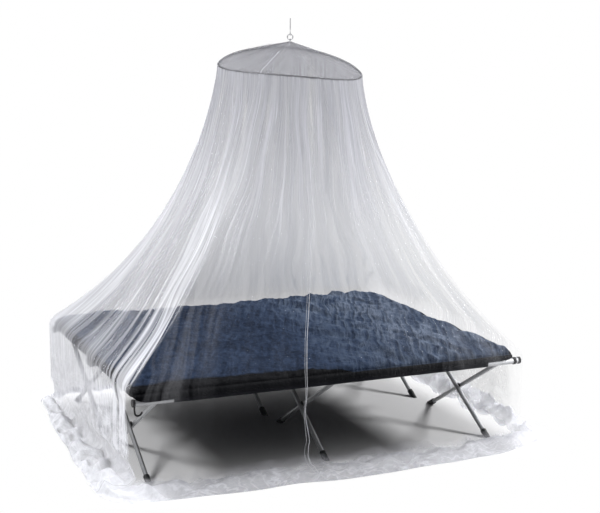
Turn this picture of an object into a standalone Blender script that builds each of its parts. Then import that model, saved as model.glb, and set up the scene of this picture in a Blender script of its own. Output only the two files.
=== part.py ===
# A round hung bed net over two folding camp cots pushed together, with a filled cover on them.
# Metres. X runs along the cots, -Y is their front, Z is up. The origin is on the floor, in the
# middle of the whole thing. Everything stands at rest: the net hangs from its hook, goes over the
# cots' corners and lies on the floor round them.

import math

import bmesh
import bpy
from mathutils import Matrix, Vector

OBJECT_NAME = "mosquito_net_canopy"
SEAT = 0.0003  # the gap between two pieces that touch

# The cots.
BED_MIDDLE = Vector((-0.0413, 0.0044, 0.0))
COT_LENGTH = 1.95
COT_WIDTH = 0.72  # between the middles of one cot's rails
COT_STEP = 0.766  # from cot to cot
RAIL_HEIGHT = 0.393  # middle of a rail above the floor
RAIL_RADIUS = 0.015
CAP_LENGTH = 0.012
CAP_RADIUS = 0.0175
CANVAS_THICK = 0.0025
CANVAS_LENGTH = 1.60
LEG_STATIONS = (-0.888, -0.023, 0.861)  # along the rails, from their middle
LEG_RADIUS = 0.011
LEG_SIDESTEP = 0.0130  # each of two crossed tubes from the middle of its pair
FOOT_INSET = 0.048  # a foot's middle from the line under its rail
FERRULE_RADIUS = 0.0145
FERRULE_LENGTH = 0.046
FERRULE_SPARE = 0.020  # cut off below the floor
HUB_RADIUS = 0.014

# The filled cover on the cots.
COVER_LEFT = -0.960
COVER_RIGHT = 0.948
COVER_HALF_WIDTH = 0.742
COVER_EDGE = 0.040  # thickness just inside its rim
COVER_CROWN = 0.022  # more than that in the middle
COVER_RISE_LONG = 0.30  # it is full this far in from its ends
COVER_RISE_SIDE = 0.26  # and this far in from its sides
COVER_RIM = 0.045  # reach of its round edge
COVER_END = 0.070
COVER_RIPPLE = 0.0035

# The net.
NET_THICK = 0.0016
HOOP_MIDDLE = Vector((0.066, 0.0, 1.813)) + BED_MIDDLE
HOOP_RADIUS = 0.355
HOOP_TUBE = 0.005
HOOP_RISE_REAR = 0.180  # its height gained per metre towards the rear
HOOP_WARP = 0.020  # its left and right sag this much, its front and rear stand up as much
LONG_STEPS = 13  # columns of the net along half a long side
CORNER_STEPS = 2
SHORT_STEPS = 9
BED_CORNER = 0.018  # corner radius of the net where it goes over the cots
FALL_STEPS = 3
FLARE_STEPS = (0.0, 0.035, 0.10, 0.19, 0.30, 0.42, 0.54, 0.66, 0.77, 0.87, 0.945, 1.0)
CROWN_STEPS = (0.0, 0.16, 0.36, 0.58, 0.80, 0.965)  # from the hoop in to the peak
CROWN_SAG = 0.006
CROWN_PANELS = 6
CROWN_OVERHANG = 0.002  # its edge past the middle of the hoop's tube

# The ring and hook at the top. The ring faces the bed's front left.
RING_RADIUS = 0.0135
RING_TUBE = 0.003
RING_TURN = math.radians(-24)
RING_HEIGHT = 1.951
TAB_WIDTH = 0.008
TAB_THICK = 0.0015
TAB_LOOSE = 0.001  # room over the ring's wire inside the loop
HOOK_WIRE = 0.00225
HOOK_CURL = 0.0075
HOOK_TOP = 0.092  # above the ring's middle
HOOK_BOW = 0.018  # height over which the wire comes back from its curl to the middle
HOOK_STRAIGHT = 0.0045  # between the curl and that bow

# How the net hangs in each direction round the bed. at: share of the way round, from the middle
# of the front through the right. clear: how far outside the cots it falls. bend: the height at
# which it turns down. flare: how straight it comes down to the bend. slack: depth of its folds.
# spread: how far its hem lies out over the floor.
NET_ROUND = (
    dict(at=0.000, clear=0.026, bend=0.475, flare=0.80, slack=0.016, spread=0.190),  # front
    dict(at=0.100, clear=0.026, bend=0.470, flare=0.80, slack=0.014, spread=0.170),
    dict(at=0.142, clear=0.012, bend=0.440, flare=0.84, slack=0.005, spread=0.105),  # front right
    dict(at=0.185, clear=0.020, bend=0.465, flare=0.84, slack=0.010, spread=0.150),
    dict(at=0.250, clear=0.026, bend=0.475, flare=0.84, slack=0.016, spread=0.215),  # right
    dict(at=0.358, clear=0.014, bend=0.455, flare=0.84, slack=0.007, spread=0.170),  # rear right
    dict(at=0.500, clear=0.026, bend=0.475, flare=0.78, slack=0.016, spread=0.180),  # rear
    dict(at=0.642, clear=0.014, bend=0.455, flare=0.74, slack=0.006, spread=0.060),  # rear left
    dict(at=0.750, clear=0.022, bend=0.465, flare=0.74, slack=0.012, spread=0.110),  # left
    dict(at=0.858, clear=0.014, bend=0.452, flare=0.76, slack=0.007, spread=0.150),  # front left
)

# The net's way over the floor, from where it comes down. out: share of its spread. rise: height.
# ruffle: how much higher its puckers stand.
POOL = (
    dict(out=-0.10, rise=0.105, ruffle=0.000),
    dict(out=-0.24, rise=0.062, ruffle=0.004),
    dict(out=-0.27, rise=0.030, ruffle=0.006),
    dict(out=-0.08, rise=0.008, ruffle=0.000),
    dict(out=0.20, rise=0.006, ruffle=0.020),
    dict(out=0.48, rise=0.006, ruffle=0.028),
    dict(out=0.76, rise=0.004, ruffle=0.016),
    dict(out=0.93, rise=0.0008, ruffle=0.000),
    dict(out=1.00, rise=0.0008, ruffle=0.000),
)

# Folds round the net as waves. count: how many go round. share: how deep. turn: where they start.
FOLD_WAVES = (
    dict(count=9, share=0.40, turn=0.4),
    dict(count=14, share=0.35, turn=1.9),
    dict(count=21, share=0.25, turn=4.1),
)
RUFFLE_WAVES = (
    dict(count=13, share=0.45, turn=0.9),
    dict(count=19, share=0.35, turn=3.2),
    dict(count=27, share=0.20, turn=5.0),
)
# Soft troughs and swells of the cover. x, y: middle. size: reach. rise: up or down at the middle.
COVER_SWELLS = (
    dict(x=0.33, y=0.50, size=0.24, rise=0.020),
    dict(x=0.06, y=0.56, size=0.16, rise=0.013),
    dict(x=0.66, y=0.36, size=0.14, rise=-0.010),
    dict(x=-0.38, y=0.40, size=0.30, rise=0.008),
    dict(x=-0.20, y=-0.30, size=0.26, rise=0.008),
    dict(x=0.48, y=-0.28, size=0.22, rise=0.007),
    dict(x=0.14, y=0.02, size=0.12, rise=-0.009),
)


def clear_scene():
    for thing in list(bpy.data.objects):
        bpy.data.objects.remove(thing, do_unlink=True)


def make_collection(name):
    collection = bpy.data.collections.new(name)
    bpy.context.scene.collection.children.link(collection)
    return collection


def make_material(name, colour, roughness, metallic=0.0, alpha=1.0):
    material = bpy.data.materials.new(name)
    material.use_nodes = True
    shader = material.node_tree.nodes["Principled BSDF"]
    shader.inputs["Base Color"].default_value = (*colour, 1.0)
    shader.inputs["Roughness"].default_value = roughness
    shader.inputs["Metallic"].default_value = metallic
    shader.inputs["Alpha"].default_value = alpha
    return material


def net_material(name):
    return make_material(name, (0.80, 0.81, 0.84), 0.75, alpha=0.45)


def cover_material():
    return make_material("cover_cloth", (0.030, 0.055, 0.120), 0.55)


def canvas_material(name):
    return make_material(name, (0.012, 0.014, 0.022), 0.85)


def tube_material(name):
    return make_material(name, (0.50, 0.52, 0.55), 0.38, metallic=1.0)


def plastic_material(name):
    return make_material(name, (0.015, 0.015, 0.017), 0.50)


def wire_material(name):
    return make_material(name, (0.45, 0.46, 0.48), 0.35, metallic=1.0)


def place(name, data, material, location=(0.0, 0.0, 0.0)):
    # One named object with its own material, held by the whole thing's empty.
    thing = bpy.data.objects.new(name, data)
    thing.location = location
    data.materials.append(material)
    parts.objects.link(thing)
    thing.parent = whole
    return thing


def smooth(mesh, angle=50):
    mesh.shade_smooth()
    mesh.set_sharp_from_angle(angle=math.radians(angle))


def mesh_from(bm, name):
    bmesh.ops.recalc_face_normals(bm, faces=bm.faces)
    mesh = bpy.data.meshes.new(name)
    bm.to_mesh(mesh)
    bm.free()
    return mesh


# Stands a flat outline up across the X axis: its X becomes Y, its Y becomes Z.
STOOD_ALONG_X = Matrix(((0, 0, 1, 0), (1, 0, 0, 0), (0, 1, 0, 0), (0, 0, 0, 1)))


def turn_to(direction):
    # Turns local Z to a direction.
    return Vector((0.0, 0.0, 1.0)).rotation_difference(direction).to_matrix().to_4x4()


def tube(name, points, radius, material, closed=False):
    curve = bpy.data.curves.new(name, "CURVE")
    curve.dimensions = "3D"
    curve.bevel_depth = radius
    curve.bevel_resolution = 2
    curve.use_fill_caps = True
    spline = curve.splines.new("POLY")
    spline.points.add(len(points) - 1)
    spline.use_cyclic_u = closed
    for slot, point in zip(spline.points, points):
        slot.co = (*point, 1.0)
    return place(name, curve, material)


def cylinder(name, radius, depth, location, direction, material, sides=16):
    bm = bmesh.new()
    turned = turn_to(direction)
    bmesh.ops.create_cone(bm, cap_ends=True, segments=sides, radius1=radius, radius2=radius,
                          depth=depth, matrix=turned)
    mesh = mesh_from(bm, name)
    smooth(mesh)
    return place(name, mesh, material, location)


def loft(rows, closed_end):
    # Quads between rings of as many points each; the last ring may be closed by one middle point.
    bm = bmesh.new()
    rings = [[bm.verts.new(point) for point in row] for row in rows]
    count = len(rows[0])
    for upper, lower in zip(rings, rings[1:]):
        for i in range(count):
            j = (i + 1) % count
            bm.faces.new((upper[i], upper[j], lower[j], lower[i]))
    if closed_end:
        middle = bm.verts.new(sum((Vector(point) for point in rows[-1]), Vector()) / count)
        for i in range(count):
            bm.faces.new((rings[-1][i], rings[-1][(i + 1) % count], middle))
    return bm


def add_thickness(thing, thickness):
    shell = thing.modifiers.new("Thickness", "SOLIDIFY")
    shell.thickness = thickness
    shell.offset = 0.0
    shell.use_rim = True


def waves(table, share_round):
    # A sum of the table's waves, from 0 to 1, at a share of the way round.
    total = sum(row["share"] for row in table)
    value = 0.0
    for row in table:
        value += row["share"] * math.sin(2 * math.pi * row["count"] * share_round + row["turn"])
    return 0.5 + 0.5 * value / total


def round_value(column, share_round):
    # A column of NET_ROUND, eased from each row to the next.
    rows = NET_ROUND + (dict(NET_ROUND[0], at=1.0),)
    for here, after in zip(rows, rows[1:]):
        if share_round <= after["at"]:
            part = (share_round - here["at"]) / (after["at"] - here["at"])
            eased = part * part * (3 - 2 * part)
            return here[column] + (after[column] - here[column]) * eased
    return rows[-1][column]


def rounded_outline(share_round, half_x, half_y, corner):
    # A point of a rounded rectangle and the way out of it, at a share of the way round from the
    # middle of its front. Each quarter is a straight, an arc and a straight.
    quarter = int(share_round * 4) % 4
    first, second = (half_x, half_y) if quarter % 2 == 0 else (half_y, half_x)
    arc = corner * math.pi / 2
    along = (share_round * 4 - int(share_round * 4)) * (first + second - 2 * corner + arc)
    if along < first - corner:
        point = Vector((along, -second))
        out = Vector((0.0, -1.0))
    elif along < first - corner + arc:
        angle = (along - first + corner) / corner
        out = Vector((math.sin(angle), -math.cos(angle)))
        point = Vector((first - corner, corner - second)) + out * corner
    else:
        point = Vector((first, along - first - arc + 2 * corner - second))
        out = Vector((1.0, 0.0))
    turned = Matrix.Rotation(quarter * math.pi / 2, 2)
    return turned @ point, turned @ out


def column_shares():
    # How far round each of the net's columns stands, with one on each bend of the outline.
    half_x, half_y = bed_half_sizes()
    long_side = half_x - BED_CORNER
    short_side = half_y - BED_CORNER
    arc = BED_CORNER * math.pi / 2
    stretches = [(long_side, LONG_STEPS), (arc, CORNER_STEPS), (short_side, SHORT_STEPS)]
    shares = []
    walked = 0.0
    for quarter in range(4):
        for length, steps in stretches:
            shares += [walked + length * step / steps for step in range(steps)]
            walked += length
        stretches.reverse()
    return [share / walked for share in shares]


def hoop_point(share_round, radius, above=0.0):
    angle = 2 * math.pi * share_round - math.pi / 2
    x = radius * math.cos(angle)
    y = radius * math.sin(angle)
    z = HOOP_RISE_REAR * y - HOOP_WARP * math.cos(2 * (angle - RING_TURN))
    return HOOP_MIDDLE + Vector((x, y, z + above))


def bed_half_sizes():
    half_y = (COT_WIDTH + COT_STEP) / 2 + RAIL_RADIUS + CANVAS_THICK
    return COT_LENGTH / 2 + CAP_LENGTH, half_y


def bed_outline(share_round):
    # Where the net falls past the cots: a point over the floor and the way out.
    clear = round_value("clear", share_round)
    point, out = rounded_outline(share_round, *bed_half_sizes(), BED_CORNER)
    point = point + out * clear + BED_MIDDLE.xy
    return point, out


def flare_share(fall, straight):
    # How far out the net has come at a share of its way down: slowly, then fast at the end.
    return straight * fall ** 1.5 + (1 - straight) * fall ** 5


def net_column(share_round):
    # The net's points from the hoop to the hem, in one direction.
    top = hoop_point(share_round, HOOP_RADIUS + HOOP_TUBE + SEAT + NET_THICK / 2)
    foot, out = bed_outline(share_round)
    bend = round_value("bend", share_round)
    slack = round_value("slack", share_round)
    straight = round_value("flare", share_round)
    spread = round_value("spread", share_round)
    fold = waves(FOLD_WAVES, share_round)
    points = []
    for fall in FLARE_STEPS:
        flat = top.xy.lerp(foot, flare_share(fall, straight))
        ease = min(1.0, fall / 0.35)
        flat = flat + out * slack * fold * ease
        points.append((flat.x, flat.y, top.z + (bend - top.z) * fall))
    low = POOL[0]["rise"]
    for step in range(1, FALL_STEPS + 1):
        part = step / (FALL_STEPS + 1)
        flat = foot + out * slack * fold * (1 + 0.6 * part)
        points.append((flat.x, flat.y, bend + (low - bend) * part))
    for depth, row in enumerate(POOL):
        ruffle = waves(RUFFLE_WAVES, (share_round + 0.013 * depth) % 1.0)
        reach = row["out"] * spread * (0.94 + 0.12 * fold * max(0.0, row["out"]))
        flat = foot + out * (reach + slack * fold * (1 - 0.7 * depth / len(POOL)))
        points.append((flat.x, flat.y, row["rise"] + row["ruffle"] * ruffle))
    return points


def make_net_body():
    columns = [net_column(share) for share in column_shares()]
    rows = [list(row) for row in zip(*columns)]
    mesh = mesh_from(loft(rows, False), "net_body")
    smooth(mesh, 80)
    add_thickness(place("net_body", mesh, net_material("net_wall")), NET_THICK)


def make_net_crown():
    # A shallow tent from the hoop's top to a small flat under the ring.
    peak = RING_HEIGHT - RING_RADIUS - RING_TUBE - 2 * SEAT - TAB_THICK - NET_THICK / 2
    rim = HOOP_TUBE + NET_THICK / 2
    end = Vector((HOOP_MIDDLE.x, HOOP_MIDDLE.y, peak))
    rows = []
    for inward in CROWN_STEPS:
        ring = []
        for share_round in column_shares()[::2]:
            start = hoop_point(share_round, HOOP_RADIUS + CROWN_OVERHANG, rim)
            point = start.lerp(end, inward)
            panel = math.cos(2 * math.pi * CROWN_PANELS * share_round)
            sag = CROWN_SAG * math.sin(math.pi * inward) * (1 + 0.8 * panel)
            height = peak if inward == CROWN_STEPS[-1] else point.z - sag
            ring.append((point.x, point.y, height))
        rows.append(ring)
    mesh = mesh_from(loft(rows, True), "net_crown")
    smooth(mesh, 80)
    add_thickness(place("net_crown", mesh, net_material("net_top")), NET_THICK)


def make_hoop():
    points = [hoop_point(share_round, HOOP_RADIUS) for share_round in column_shares()[::2]]
    tube("hoop", points, HOOP_TUBE, wire_material("hoop_wire"), closed=True)


def ring_frame(height):
    # Local X across the ring, local Y through it, at a height on its own upright line.
    spot = Matrix.Translation((HOOP_MIDDLE.x, HOOP_MIDDLE.y, height))
    return spot @ Matrix.Rotation(RING_TURN, 4, "Z")


def make_hang_ring():
    bpy.ops.mesh.primitive_torus_add(major_radius=RING_RADIUS, minor_radius=RING_TUBE,
                                     major_segments=24, minor_segments=8)
    ring = bpy.context.object
    mesh = ring.data
    bpy.data.objects.remove(ring)
    mesh.name = "hang_ring"
    mesh.transform(ring_frame(RING_HEIGHT) @ Matrix.Rotation(math.pi / 2, 4, "X"))
    smooth(mesh, 60)
    place("hang_ring", mesh, wire_material("ring_wire"))


def stadium(half_width, half_height, turns=6):
    # A closed outline with round ends, in its own X and Y.
    points = []
    straight = half_height - half_width
    for top in (1, -1):
        for k in range(turns + 1):
            angle = math.pi * k / turns + (0.0 if top > 0 else math.pi)
            points.append((half_width * math.cos(angle), top * straight + half_width * math.sin(angle)))
    return points


def outline_curve(name, outlines, depth):
    # A flat outline with its holes, as thick as depth.
    curve = bpy.data.curves.new(name, "CURVE")
    curve.dimensions = "2D"
    curve.fill_mode = "BOTH"
    curve.extrude = depth / 2
    for outline in outlines:
        spline = curve.splines.new("POLY")
        spline.points.add(len(outline) - 1)
        spline.use_cyclic_u = True
        for slot, point in zip(spline.points, outline):
            slot.co = (point[0], point[1], 0.0, 1.0)
    return curve


def make_ring_tab():
    # A loop of tape round the ring's foot. It stands on the crown's peak.
    half_width = RING_TUBE + 2 * SEAT
    low = RING_HEIGHT - RING_RADIUS - RING_TUBE - SEAT
    high = RING_HEIGHT - RING_RADIUS + RING_TUBE + TAB_LOOSE
    half_height = (high - low) / 2
    outer = stadium(half_width + TAB_THICK, half_height + TAB_THICK)
    inner = stadium(half_width, half_height)
    loop = outline_curve("ring_tab", (outer, inner), TAB_WIDTH)
    tab = place("ring_tab", loop, net_material("tab_tape"))
    tab.matrix_local = ring_frame((high + low) / 2) @ STOOD_ALONG_X


def make_hang_hook():
    low = RING_HEIGHT + RING_RADIUS - RING_TUBE - SEAT - HOOK_WIRE
    middle = low + HOOK_CURL
    route = []
    for k in range(13):
        angle = math.radians(165 + 15 * k)
        route.append(Vector((0.0, HOOK_CURL * math.cos(angle), middle + HOOK_CURL * math.sin(angle))))
    for k in range(1, 7):
        part = k / 6
        bow = HOOK_CURL * 0.5 * (1 + math.cos(math.pi * part))
        route.append(Vector((0.0, bow, middle + HOOK_STRAIGHT + HOOK_BOW * part)))
    route.append(Vector((0.0, 0.0, RING_HEIGHT + HOOK_TOP)))
    turned = Matrix.Translation((HOOP_MIDDLE.x, HOOP_MIDDLE.y, 0)) @ Matrix.Rotation(RING_TURN, 4, "Z")
    tube("hang_hook", [turned @ point for point in route], HOOK_WIRE, wire_material("hook_wire"))


def cover_top(x, y):
    # Thickness over the cots at a point of the cover: low at its rim, fuller inside.
    reach_x = min(x - COVER_LEFT, COVER_RIGHT - x) / COVER_RISE_LONG
    reach_y = (COVER_HALF_WIDTH - abs(y)) / COVER_RISE_SIDE
    inside = min(1.0, max(0.0, reach_x)) * min(1.0, max(0.0, reach_y))
    eased = inside * inside * (3 - 2 * inside)
    height = COVER_EDGE + COVER_CROWN * eased
    for swell in COVER_SWELLS:
        far = ((x - swell["x"]) ** 2 + (y - swell["y"]) ** 2) / swell["size"] ** 2
        height += swell["rise"] * math.exp(-far)
    height += COVER_RIPPLE * math.sin(9.0 * x + 5.0 * y) * eased
    return height


def cover_ring(x, base):
    # One cross section of the cover: flat below, round at both edges.
    drawn = min(1.0, max(0.0, min(x - COVER_LEFT, COVER_RIGHT - x) / COVER_END))
    rounded = math.sqrt(1 - (1 - drawn) ** 2)
    half = COVER_HALF_WIDTH - COVER_RIM * (1 - rounded)
    squash = 0.45 + 0.55 * rounded
    ring = []
    for k in range(4):
        ring.append((x, -half * 0.97 + 1.94 * half * k / 3, base))
    across = 22
    for k in range(across + 1):
        turn = math.pi * k / across
        # Closer together towards the two edges.
        y = half * math.copysign(abs(math.cos(turn)) ** 0.85, math.cos(turn))
        edge = min(1.0, (half - abs(y)) / COVER_RIM)
        bulge = math.sqrt(max(0.0, 1 - (1 - edge) ** 2))
        ring.append((x, y, base + cover_top(x, y) * squash * (0.38 + 0.62 * bulge)))
    return ring


def make_cover():
    base = RAIL_HEIGHT + RAIL_RADIUS + SEAT + CANVAS_THICK + SEAT
    steps = 26
    rows = []
    for k in range(steps + 1):
        part = 0.5 - 0.5 * math.cos(math.pi * k / steps)
        part = 0.45 * part + 0.55 * k / steps
        rows.append(cover_ring(COVER_LEFT + (COVER_RIGHT - COVER_LEFT) * part, base))
    bm = loft(rows, False)
    bm.verts.ensure_lookup_table()
    count = len(rows[0])
    bm.faces.new(bm.verts[:count])
    bm.faces.new(bm.verts[-count:])
    mesh = mesh_from(bm, "cover")
    smooth(mesh, 60)
    place("cover", mesh, cover_material(), BED_MIDDLE)


def canvas_outline():
    # Across a cot: a sleeve round each rail and the cloth stretched between their tops.
    outer = RAIL_RADIUS + SEAT + CANVAS_THICK
    lower = math.asin((outer - CANVAS_THICK) / outer)
    half = COT_WIDTH / 2
    turns = 14
    outline = []
    sweep = 3 * math.pi / 2 + lower
    for k in range(turns + 1):
        angle = math.pi / 2 - sweep * (1 - k / turns)
        outline.append((half + outer * math.cos(angle), outer * math.sin(angle)))
    for k in range(turns + 1):
        angle = math.pi / 2 + sweep * k / turns
        outline.append((-half + outer * math.cos(angle), outer * math.sin(angle)))
    holes = []
    for side in (1, -1):
        hole = []
        for k in range(16):
            angle = math.pi * k / 8
            radius = RAIL_RADIUS + SEAT
            hole.append((side * half + radius * math.cos(angle), radius * math.sin(angle)))
        holes.append(hole)
    return [outline] + holes


def make_cot(number, middle_y):
    # Rails, caps, canvas and three pairs of crossed legs.
    middle = BED_MIDDLE + Vector((0.0, middle_y, 0.0))
    canvas_data = outline_curve(f"cot_{number}_canvas", canvas_outline(), CANVAS_LENGTH)
    canvas = place(f"cot_{number}_canvas", canvas_data, canvas_material(f"canvas_{number}"))
    canvas.matrix_local = Matrix.Translation(middle + Vector((0, 0, RAIL_HEIGHT))) @ STOOD_ALONG_X
    for side, side_name in ((-1, "front"), (1, "rear")):
        start = middle + Vector((-COT_LENGTH / 2, side * COT_WIDTH / 2, RAIL_HEIGHT))
        end = start + Vector((COT_LENGTH, 0.0, 0.0))
        material = tube_material(f"rail_{number}_{side_name}")
        cylinder(f"cot_{number}_rail_{side_name}", RAIL_RADIUS, COT_LENGTH, (start + end) / 2,
                 Vector((1, 0, 0)), material)
        for spot, sign, end_name in ((start, -1, "left"), (end, 1, "right")):
            cap_spot = spot + Vector((sign * (SEAT + CAP_LENGTH / 2), 0.0, 0.0))
            cylinder(f"cot_{number}_cap_{side_name}_{end_name}", CAP_RADIUS, CAP_LENGTH, cap_spot,
                     Vector((1, 0, 0)), plastic_material(f"cap_{number}_{side_name}_{end_name}"))
    for station, station_name in zip(LEG_STATIONS, ("left", "middle", "right")):
        sleeved = abs(station) < CANVAS_LENGTH / 2
        held = RAIL_RADIUS + (SEAT + CANVAS_THICK if sleeved else 0.0)
        make_leg_pair(f"cot_{number}_{station_name}", middle + Vector((station, 0.0, 0.0)), held)


def make_leg_pair(name, spot, held):
    # Two tubes crossed like scissors, each from a foot to what is held on the other side.
    for side, side_name in ((-1, "front"), (1, "rear")):
        foot = spot + Vector((side * LEG_SIDESTEP, side * (COT_WIDTH / 2 - FOOT_INSET), 0.0))
        rail = spot + Vector((side * LEG_SIDESTEP, -side * COT_WIDTH / 2, RAIL_HEIGHT))
        lean = (rail - foot).normalized()
        make_ferrule(f"{name}_ferrule_{side_name}", foot, lean)
        low = foot + lean * (FERRULE_LENGTH + SEAT)
        high = rail - lean * (held + SEAT)
        material = tube_material(f"{name}_{side_name}_tube")
        tube(f"{name}_leg_{side_name}", [low, high], LEG_RADIUS, material)
    cross_height = RAIL_HEIGHT * (COT_WIDTH / 2 - FOOT_INSET) / (COT_WIDTH - FOOT_INSET)
    thick = 2 * (LEG_SIDESTEP - LEG_RADIUS) - 2 * SEAT
    cylinder(f"{name}_hub", HUB_RADIUS, thick, spot + Vector((0, 0, cross_height)), Vector((1, 0, 0)),
             plastic_material(f"{name}_hub_plastic"))


def make_ferrule(name, foot, lean):
    # A plastic end on a leaning tube, cut off level on the floor.
    bm = bmesh.new()
    depth = FERRULE_LENGTH + FERRULE_SPARE
    middle = Matrix.Translation(lean * (depth / 2 - FERRULE_SPARE)) @ turn_to(lean)
    bmesh.ops.create_cone(bm, cap_ends=True, segments=16, radius1=FERRULE_RADIUS,
                          radius2=FERRULE_RADIUS, depth=depth, matrix=middle)
    everything = bm.verts[:] + bm.edges[:] + bm.faces[:]
    cut = bmesh.ops.bisect_plane(bm, geom=everything, plane_co=(0, 0, 0), plane_no=(0, 0, -1),
                                 clear_outer=True)
    edges = [item for item in cut["geom_cut"] if isinstance(item, bmesh.types.BMEdge)]
    bmesh.ops.contextual_create(bm, geom=edges)
    mesh = mesh_from(bm, name)
    smooth(mesh)
    place(name, mesh, plastic_material(f"{name}_plastic"), foot)


clear_scene()
parts = make_collection(OBJECT_NAME)
whole = bpy.data.objects.new("whole", None)
parts.objects.link(whole)
make_net_body()
make_net_crown()
make_hoop()
make_hang_ring()
make_ring_tab()
make_hang_hook()
make_cover()
for cot, cot_side in ((1, -1), (2, 1)):
    make_cot(cot, cot_side * COT_STEP / 2)
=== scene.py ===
# A hung bed net over two camp cots: its finished surfaces, light and camera. Metres, +Z up.
import math

import bmesh
import bpy
from mathutils import Matrix, Vector, noise


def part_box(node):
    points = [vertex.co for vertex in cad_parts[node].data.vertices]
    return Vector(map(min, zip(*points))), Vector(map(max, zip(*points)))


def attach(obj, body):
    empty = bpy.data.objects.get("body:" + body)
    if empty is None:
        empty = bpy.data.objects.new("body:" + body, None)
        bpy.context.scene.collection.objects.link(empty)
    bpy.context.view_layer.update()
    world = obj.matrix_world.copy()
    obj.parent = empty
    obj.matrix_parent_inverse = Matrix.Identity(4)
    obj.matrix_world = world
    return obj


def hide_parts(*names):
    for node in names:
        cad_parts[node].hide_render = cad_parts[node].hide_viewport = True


noise.seed_set(1)  # without it noise_vector differs from run to run

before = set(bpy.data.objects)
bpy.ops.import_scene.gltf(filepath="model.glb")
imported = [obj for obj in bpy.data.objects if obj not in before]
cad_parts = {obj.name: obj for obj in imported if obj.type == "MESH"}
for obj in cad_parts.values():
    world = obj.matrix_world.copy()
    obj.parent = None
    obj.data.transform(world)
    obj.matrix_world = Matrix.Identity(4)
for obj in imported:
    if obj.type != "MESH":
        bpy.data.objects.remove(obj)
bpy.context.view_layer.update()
print("frame loaded:", len(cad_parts), "solids")

cameraSet = {"place": (-2.5477, -5.9950, 2.0212), "turn": 0.41383, "tip": 0.17797, "roll": 0.00791,
             "lens": 77.98, "filmWidth": 36.0, "farthest": 200.0}


def placeCamera():
    data = bpy.data.cameras.new("frontLeftCamera")
    data.lens = cameraSet["lens"]
    data.sensor_width = cameraSet["filmWidth"]
    data.sensor_fit = "HORIZONTAL"
    data.clip_end = cameraSet["farthest"]
    data.dof.use_dof = False
    turn, tip, roll = cameraSet["turn"], cameraSet["tip"], cameraSet["roll"]
    ahead = Vector((math.sin(turn) * math.cos(tip), math.cos(turn) * math.cos(tip), -math.sin(tip)))
    across = Vector((math.cos(turn), -math.sin(turn), 0.0))
    over = across.cross(ahead)
    right = across * math.cos(roll) + over * math.sin(roll)
    top = over * math.cos(roll) - across * math.sin(roll)
    thing = bpy.data.objects.new("frontLeftCamera", data)
    bpy.context.scene.collection.objects.link(thing)
    turned = Matrix((right, top, -ahead)).transposed().to_4x4()
    thing.matrix_world = Matrix.Translation(cameraSet["place"]) @ turned
    bpy.context.scene.camera = thing


placeCamera()
print("camera placed")


def blend(low, high, value):
    value = min(1.0, max(0.0, (value - low) / (high - low)))
    return value * value * (3 - 2 * value)


def mix(here, there, share):
    return here + (there - here) * share


def newPiece(name, mesh, material):
    thing = bpy.data.objects.new(name, mesh)
    bpy.context.scene.collection.objects.link(thing)
    mesh.materials.append(material)
    mesh.shade_smooth()
    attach(thing, "root")
    return thing


def clothMesh(name, rows, around, alongs, marks=None, closed=False):
    # A grid of points: rows run down the cloth, around holds each column's place in metres,
    # alongs each row's. marks are named numbers, one for each point.
    bm = bmesh.new()
    grid = [[bm.verts.new(point) for point in row] for row in rows]
    uv = bm.loops.layers.uv.new("cloth")
    count = len(rows[0])
    last = count if closed else count - 1
    step = around[1] - around[0]
    for r in range(len(rows) - 1):
        for c in range(last):
            d = (c + 1) % count
            face = bm.faces.new((grid[r][c], grid[r + 1][c], grid[r + 1][d], grid[r][d]))
            right = around[d] if d else around[c] + step
            for loop, spot in zip(face.loops, ((around[c], alongs[r]), (around[c], alongs[r + 1]),
                                               (right, alongs[r + 1]), (right, alongs[r]))):
                loop[uv].uv = spot
    mesh = bpy.data.meshes.new(name)
    bm.to_mesh(mesh)
    bm.free()
    for word, values in (marks or {}).items():
        layer = mesh.attributes.new(word, "FLOAT", "POINT")
        layer.data.foreach_set("value", values)
    return mesh


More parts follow.
